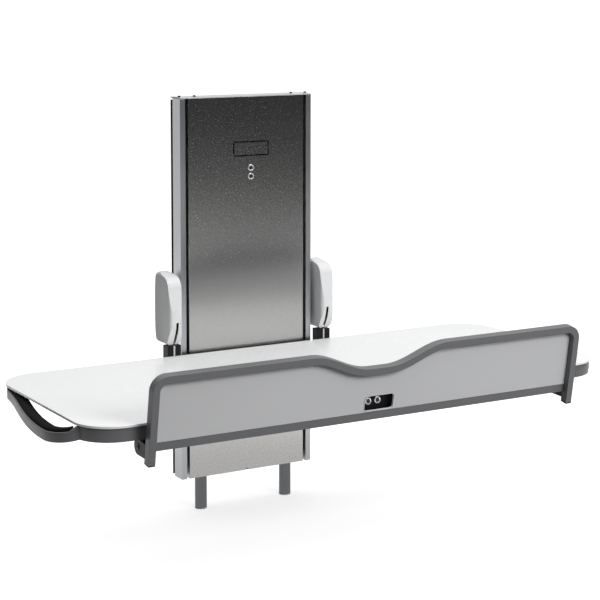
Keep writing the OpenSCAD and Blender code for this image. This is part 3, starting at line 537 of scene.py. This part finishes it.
# Each cap screw gets a socket head over the middle of its own solid
CAP_SCREW_EDGE, CAP_HEAD_R, CAP_HEAD_H, SOLIDS_APART = 0.6, 0.0034, 0.0012, 0.01
cap_low, cap_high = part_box("cap_screws")
softened("cap_screws", CAP_SCREW_EDGE)
edges_x = sorted(v.co.x for v in NODES["cap_screws"].data.vertices)
gaps = [i + 1 for i in range(len(edges_x) - 1) if edges_x[i + 1] - edges_x[i] > SOLIDS_APART]
breaks = [0, *gaps, len(edges_x)]
for i, (a, b) in enumerate(zip(breaks, breaks[1:])):
    socket_screw("cap_screw_" + str(i), "wall_unit", "black_metal", CAP_HEAD_R, CAP_HEAD_H,
                 ((edges_x[a] + edges_x[b - 1]) / 2, (cap_low[1] + cap_high[1]) / 2, cap_high[2]), UPWARD)

PIN_EDGE, BOLT_R, PIN_SOCKET_H, BOLT_H = 0.4, 0.0042, 0.0012, 0.0024
BOLT_Y, BOLT_Z = -0.797, -0.266
softened("guard_pins", PIN_EDGE, SCREW)
pin_low, pin_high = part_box("guard_pins")
for side, word in SIDES:
    socket_screw("pin_socket_" + word, "bed", "bright_steel", BOLT_R, PIN_SOCKET_H,
                 (side * pin_high[0], (pin_low[1] + pin_high[1]) / 2, (pin_low[2] + pin_high[2]) / 2),
                 (side, 0, 0))
    socket_screw("bracket_bolt_" + word, "bed", "black_metal", BOLT_R, BOLT_H,
                 (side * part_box("guard_bracket_right")[1][0], BOLT_Y, BOLT_Z), (side, 0, 0))


# The thin dark border on the blank plate

BORDER_R, BORDER_LINE, BORDER_T, BORDER_MIN_R, BORDER_STEPS = 0.006, 0.0042, 0.0003, 0.0004, 8


def border(name, body, slot, corners, y, material):
    """A rounded frame on a face at `y`, along the inside of the (x0, z0) and (x1, z1) corners."""
    (x0, z0), (x1, z1) = corners
    cx, cz = (x0 + x1) / 2, (z0 + z1) / 2
    work = bmesh.new()
    loops = []
    for inset in (0.0, BORDER_LINE):
        loop = []
        w, h, r = (x1 - x0) / 2 - inset, (z1 - z0) / 2 - inset, max(BORDER_R - inset, BORDER_MIN_R)
        for sx, sz, start in ((1, 1, 0), (-1, 1, 90), (-1, -1, 180), (1, -1, 270)):
            for i in range(BORDER_STEPS + 1):
                a = math.radians(start + 90 * i / BORDER_STEPS)
                loop.append((cx + sx * (w - r) + r * math.cos(a), cz + sz * (h - r) + r * math.sin(a)))
        loops.append(loop)
    rows = [[work.verts.new((x, depth_y, z)) for x, z in loops[k]] for k, depth_y in
            ((0, y), (0, y - BORDER_T), (1, y - BORDER_T), (1, y))]
    count = len(rows[0])
    for a, b in zip(rows, rows[1:] + rows[:1]):
        for k in range(count):
            work.faces.new((a[k], a[(k + 1) % count], b[(k + 1) % count], b[k]))
    return from_bmesh(name, work, body, slot, material)


(plate_x0, plate_y, plate_z0), (plate_x1, _, plate_z1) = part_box("blank_plate")
border("plate_border", "wall_unit", "black_plastic", ((plate_x0, plate_z0), (plate_x1, plate_z1)), plate_y,
       SEAM)


# Floor: white to the camera, duller to bounced light, and fading away in reflections

FLOOR_HALF, FLOOR_GAP = 200, 0.0005
FLOOR_COLOUR, FLOOR_GLOW, FLOOR_BOUNCE = (0.8, 0.8, 0.8, 1), 0.66, (0.1, 0.1, 0.1, 1)
# Each range is (from, to) in metres and the two strengths there
FADE, CLOSE, BEHIND = (2.0, 7.0, 1.5, 0.02), (0.8, 2.2, 0.66, 1.6), (1.5, 5.0, 0.0, 0.66)


def bright_stage(name):
    n = Nodes(name)
    n.tree.nodes.remove(n.shader)
    seen = n.add("ShaderNodeBsdfDiffuse")
    seen.inputs["Color"].default_value = FLOOR_COLOUR
    glow = n.add("ShaderNodeEmission")
    glow.inputs["Strength"].default_value = FLOOR_GLOW
    bright = n.add("ShaderNodeAddShader")
    n.link(seen.outputs["BSDF"], bright.inputs[0])
    n.link(glow.outputs["Emission"], bright.inputs[1])
    dull = n.add("ShaderNodeBsdfDiffuse")
    dull.inputs["Color"].default_value = FLOOR_BOUNCE
    spot = n.place()
    reach = n.add("ShaderNodeVectorMath", operation="LENGTH")
    n.link(spot, reach.inputs[0])
    axes = n.add("ShaderNodeSeparateXYZ")
    n.link(spot, axes.inputs["Vector"])
    around = n.combine("MINIMUM", n.spread(reach.outputs["Value"], *FADE, "SMOOTHSTEP"),
                       n.spread(reach.outputs["Value"], *CLOSE))
    mirrored = n.add("ShaderNodeEmission")
    n.link(n.combine("MAXIMUM", around, n.spread(axes.outputs["Y"], *BEHIND)), mirrored.inputs["Strength"])
    unmirrored = n.by_ray("Is Camera Ray", bright.outputs["Shader"], dull.outputs["BSDF"])
    n.link(n.by_ray("Is Glossy Ray", mirrored.outputs["Emission"], unmirrored), n.out.inputs["Surface"])
    return n.material


work = bmesh.new()
bmesh.ops.create_grid(work, x_segments=1, y_segments=1, size=FLOOR_HALF)
mesh = bpy.data.meshes.new("floor")
work.to_mesh(mesh)
work.free()
floor = bpy.data.objects.new("floor", mesh)
floor.location = (0, 0, low[2] - FLOOR_GAP)
scene.collection.objects.link(floor)
floor.data.materials.append(bright_stage("floor"))
floor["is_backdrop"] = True


# Sky: white to the camera, one brightness for reflections and another for all other light

world = bpy.data.worlds.new("world")
scene.world = world
world.use_nodes = True
air = Tree(world.node_tree)
output = air.add("ShaderNodeOutputWorld")
direction = air.add("ShaderNodeSeparateXYZ")
air.link(air.add("ShaderNodeTexCoord").outputs["Generated"], direction.inputs["Vector"])


def sky(base, **lobes):
    """One background, brighter along each named axis: (start, end, strength) of its lobe."""
    value = base
    for axis, (start, end, strength) in lobes.items():
        lobe = air.spread(direction.outputs[axis], start, end, 0.0, strength, "SMOOTHSTEP")
        value = air.combine("ADD", lobe, value)
    made = air.add("ShaderNodeBackground")
    made.inputs["Color"].default_value = WHITE
    air.feed(value, made.inputs["Strength"])
    return made.outputs["Background"]


soft = sky(0.03, Z=(0.3, 1.0, 0.82), Y=(0.0, 0.9, 0.1), X=(0.3, 1.0, 0.1))
reflected = sky(0.02, Z=(0.35, 0.9, 0.7), Y=(-0.1, 0.7, 0.62), X=(0.75, 1.0, 0.15))
unseen = air.by_ray("Is Glossy Ray", reflected, soft)
air.link(air.by_ray("Is Camera Ray", sky(1.0), unseen), output.inputs["Surface"])


# Lamps: the key from above, the front one out of the reflections

KEY_WATTS, KEY_PLACE, KEY_TARGET, KEY_SIZE = 106, (0.7, -1.3, 4.3), (0, -0.5, -0.2), 2.6
FRONT_WATTS, FRONT_PLACE, FRONT_TARGET, FRONT_SIZE = 170, (1.2, -5.0, 1.9), (0, -0.5, -0.1), 2.2


def lamp(name, energy, place, target, size):
    data = bpy.data.lights.new(name, "AREA")
    data.energy, data.shape, data.size, data.size_y = energy, "RECTANGLE", size, size
    made = bpy.data.objects.new(name, data)
    made.location = place
    made.rotation_mode = "QUATERNION"
    made.rotation_quaternion = (Vector(target) - Vector(place)).to_track_quat("-Z", "Y")
    scene.collection.objects.link(made)
    return made


lamp("key", KEY_WATTS, KEY_PLACE, KEY_TARGET, KEY_SIZE)
front = lamp("front", FRONT_WATTS, FRONT_PLACE, FRONT_TARGET, FRONT_SIZE)
front.visible_glossy = False

scene.view_settings.view_transform = "Standard"

low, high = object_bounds()
